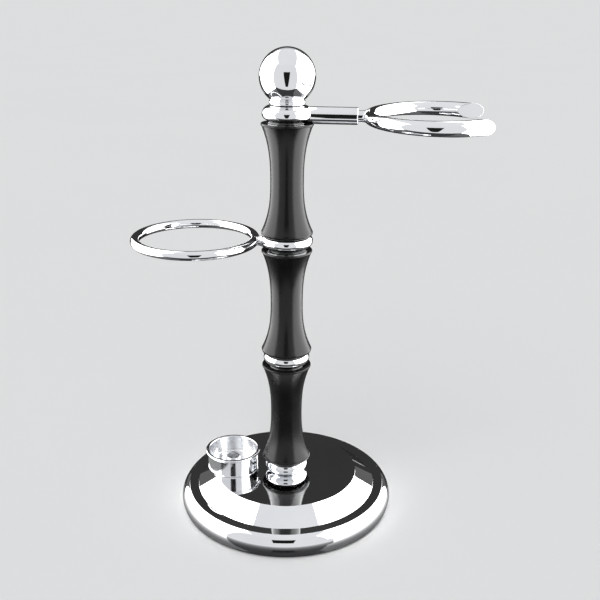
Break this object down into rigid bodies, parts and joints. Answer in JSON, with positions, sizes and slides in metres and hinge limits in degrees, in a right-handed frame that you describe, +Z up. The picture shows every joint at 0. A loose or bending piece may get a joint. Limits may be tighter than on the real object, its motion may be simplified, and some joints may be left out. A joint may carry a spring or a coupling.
{
  "type": "shaving brush and razor stand",
  "caption": "Weighted mirror-chrome base with a column of waisted satin-black spools, a ball knob, a swivelling open fork, a swivelling closed ring and a small cup.",
  "frame": {"origin": "centre of the base pad's underside, on the column's axis", "axes": "+Z up the column, +X roughly towards the fork, -X towards the ring and the cup"},
  "size_m": [0.124, 0.0806, 0.1705],
  "materials": {
    "chrome_base": "mirror-polished chrome plate",
    "chrome_collar": "polished chrome plate",
    "chrome_rod": "polished chrome plate",
    "chrome_knob": "polished chrome plate",
    "chrome_cup": "polished chrome plate, lightly turned inside",
    "black_satin": "satin black lacquer",
    "steel": "zinc-plated steel",
    "cast_iron": "as cast",
    "nylon": "natural nylon",
    "pad": "matt foam rubber"
  },
  "bodies": {
    "root": {"base_shell": "chrome_base", "ballast": "cast_iron", "base_pad": "pad", "base_washer": "steel", "lock_washer": "steel", "base_nut": "steel", "tie_rod": "steel", "foot_collar": "chrome_collar", "lower_spool": "black_satin", "plain_collar": "chrome_collar", "middle_spool": "black_satin", "ring_washer_lower": "nylon", "ring_washer_upper": "nylon", "upper_spool": "black_satin", "fork_washer_lower": "nylon", "cup": "chrome_cup", "cup_screw": "steel", "cup_washer": "steel", "cup_nut": "steel"},
    "ring_arm": {"ring_collar": "chrome_collar", "ring_stem": "chrome_rod", "ring_loop": "chrome_rod"},
    "fork_arm": {"fork_collar": "chrome_collar", "fork_stud": "steel", "fork_sleeve": "chrome_rod", "fork": "chrome_rod"},
    "knob_thrust": {"knob_washer": "nylon"},
    "knob_body": {"knob": "chrome_knob"}
  },
  "joints": [
    {"name": "ring_swivel", "type": "hinge", "parent": "root", "child": "ring_arm", "pos_m": [0, 0, 0.10416], "axis": [0, 0, 1], "continuous": true},
    {"name": "fork_swivel", "type": "hinge", "parent": "root", "child": "fork_arm", "pos_m": [0, 0, 0.14849], "axis": [0, 0, 1], "continuous": true},
    {"name": "knob_lift", "type": "slide", "parent": "root", "child": "knob_thrust", "axis": [0, 0, 1], "range_m": [0, 0.0096]},
    {"name": "knob_turn", "type": "hinge", "parent": "knob_thrust", "child": "knob_body", "pos_m": [0, 0, 0.16099], "axis": [0, 0, 1], "range_deg": [0, 4320]}
  ],
  "couplings": [
    {"joint": "knob_lift", "follows": "knob_turn", "m_per_rad": 0.00012732}
  ]
}
